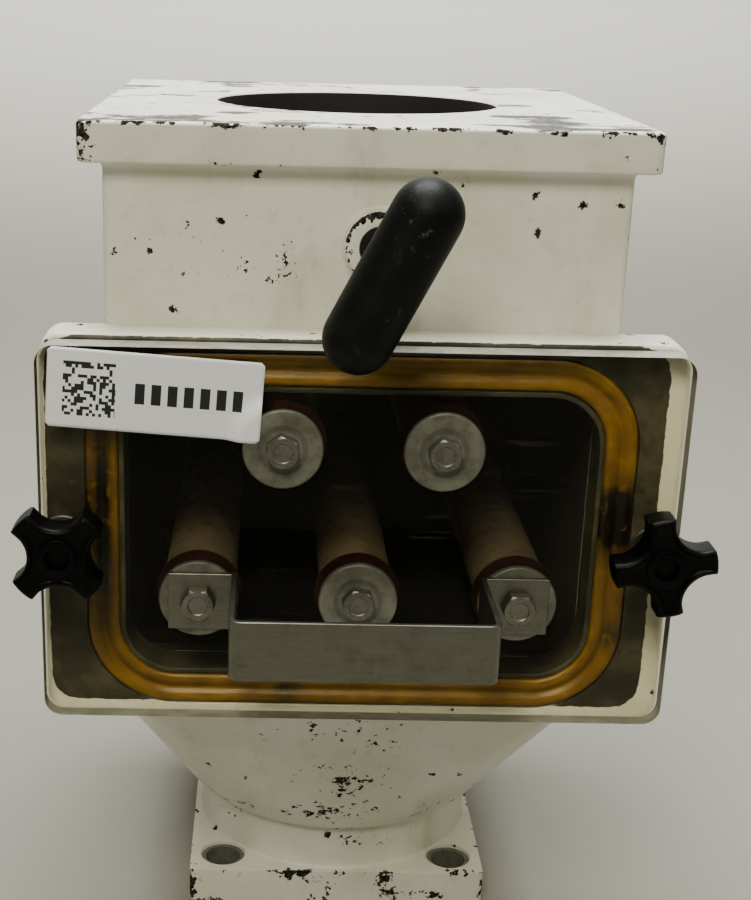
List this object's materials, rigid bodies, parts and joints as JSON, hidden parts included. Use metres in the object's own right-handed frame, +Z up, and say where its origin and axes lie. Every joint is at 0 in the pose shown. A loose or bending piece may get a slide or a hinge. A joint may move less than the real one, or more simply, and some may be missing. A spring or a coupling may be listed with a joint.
{
  "type": "knife gate valve with magnet drawer housing",
  "caption": "Hopper throat housing with a push-pull knife gate over a pull-out drawer of magnetic bars behind a clear clamped cover.",
  "frame": {"origin": "centre of the outlet bore at the underside of the bottom flange", "axes": "+Z up through the inlet, -Y out of the drawer's front, +X to the right as one faces the drawer"},
  "size_m": [0.2911, 0.3405, 0.398],
  "materials": {
    "painted_casting": "off-white enamel, chipped and stained, over dark steel",
    "gasket_rubber": "amber moulded rubber",
    "stainless_steel": "mill finish",
    "zinc_steel": "zinc plated, dulled",
    "bronze": "turned",
    "seal_rubber": "reddish moulded rubber",
    "grip_rubber": "black, dusty, finely pitted",
    "clear_acrylic": "clear sheet, polished edges, light scratches",
    "disc_plastic": "frosted natural plastic",
    "handle_steel": "brushed flat bar",
    "label_paper": "white coated paper",
    "knob_plastic": "black moulded, satin",
    "bar_steel": "stainless tube with brown dust film",
    "magnet_metal": "nickel plated"
  },
  "bodies": {
    "housing": {"top_flange": "painted_casting", "left_side_plate": "painted_casting", "right_side_plate": "painted_casting", "rear_plate": "painted_casting", "front_upper_plate": "painted_casting", "front_lower_plate": "painted_casting", "front_frame": "painted_casting", "hopper": "painted_casting", "neck_ring": "painted_casting", "bottom_flange": "painted_casting", "cover_gasket": "gasket_rubber", "inlet_funnel": "stainless_steel", "gate_deck": "stainless_steel", "left_gate_rail": "stainless_steel", "right_gate_rail": "stainless_steel", "rail_screws": "zinc_steel", "rod_boss": "painted_casting", "rod_bush": "bronze", "rod_wiper": "seal_rubber"},
    "gate": {"gate_blade": "stainless_steel", "rod_lug": "stainless_steel"},
    "gate_handle": {"gate_rod": "stainless_steel", "rod_clip": "zinc_steel", "t_handle_bar": "stainless_steel", "t_handle_grip": "grip_rubber"},
    "drawer": {"cover_plate": "clear_acrylic", "bar_tube_1": "bar_steel", "bar_tube_2": "bar_steel", "bar_tube_3": "bar_steel", "bar_tube_4": "bar_steel", "bar_tube_5": "bar_steel", "magnet_stack_1": "magnet_metal", "magnet_stack_2": "magnet_metal", "magnet_stack_3": "magnet_metal", "magnet_stack_4": "magnet_metal", "magnet_stack_5": "magnet_metal", "pole_discs_1": "zinc_steel", "pole_discs_2": "zinc_steel", "pole_discs_3": "zinc_steel", "pole_discs_4": "zinc_steel", "pole_discs_5": "zinc_steel", "bar_front_plugs": "stainless_steel", "bar_end_plugs": "stainless_steel", "bar_seals": "seal_rubber", "disc_washers": "disc_plastic", "bar_bolts": "zinc_steel", "pull_handle": "handle_steel", "asset_label": "label_paper"},
    "left_knob_ring": {"left_knob_washer": "zinc_steel"},
    "left_knob_unit": {"left_knob": "knob_plastic", "left_knob_stud": "zinc_steel"},
    "right_knob_ring": {"right_knob_washer": "zinc_steel"},
    "right_knob_unit": {"right_knob": "knob_plastic", "right_knob_stud": "zinc_steel"}
  },
  "joints": [
    {"name": "gate_slide", "type": "slide", "parent": "housing", "child": "gate", "axis": [0, -1, 0], "range_m": [0, 0.06]},
    {"name": "handle_swivel", "type": "hinge", "parent": "gate", "child": "gate_handle", "pos_m": [0.0055, -0.1, 0.349], "axis": [0, -1, 0], "continuous": true},
    {"name": "drawer_slide", "type": "slide", "parent": "housing", "child": "drawer", "axis": [0, -1, 0], "range_m": [0, 0.245]},
    {"name": "left_knob_travel", "type": "slide", "parent": "drawer", "child": "left_knob_ring", "axis": [0, -1, 0], "range_m": [0, 0.0076]},
    {"name": "left_knob_turn", "type": "hinge", "parent": "left_knob_ring", "child": "left_knob_unit", "pos_m": [-0.1255, -0.16, 0.227], "axis": [0, -1, 0], "range_deg": [0, 2160]},
    {"name": "right_knob_travel", "type": "slide", "parent": "drawer", "child": "right_knob_ring", "axis": [0, -1, 0], "range_m": [0, 0.0076]},
    {"name": "right_knob_turn", "type": "hinge", "parent": "right_knob_ring", "child": "right_knob_unit", "pos_m": [0.1255, -0.16, 0.227], "axis": [0, -1, 0], "range_deg": [0, 2160]}
  ],
  "couplings": [
    {"joint": "left_knob_travel", "follows": "left_knob_turn", "m_per_rad": 0.00019894},
    {"joint": "right_knob_travel", "follows": "right_knob_turn", "m_per_rad": 0.00019894}
  ]
}
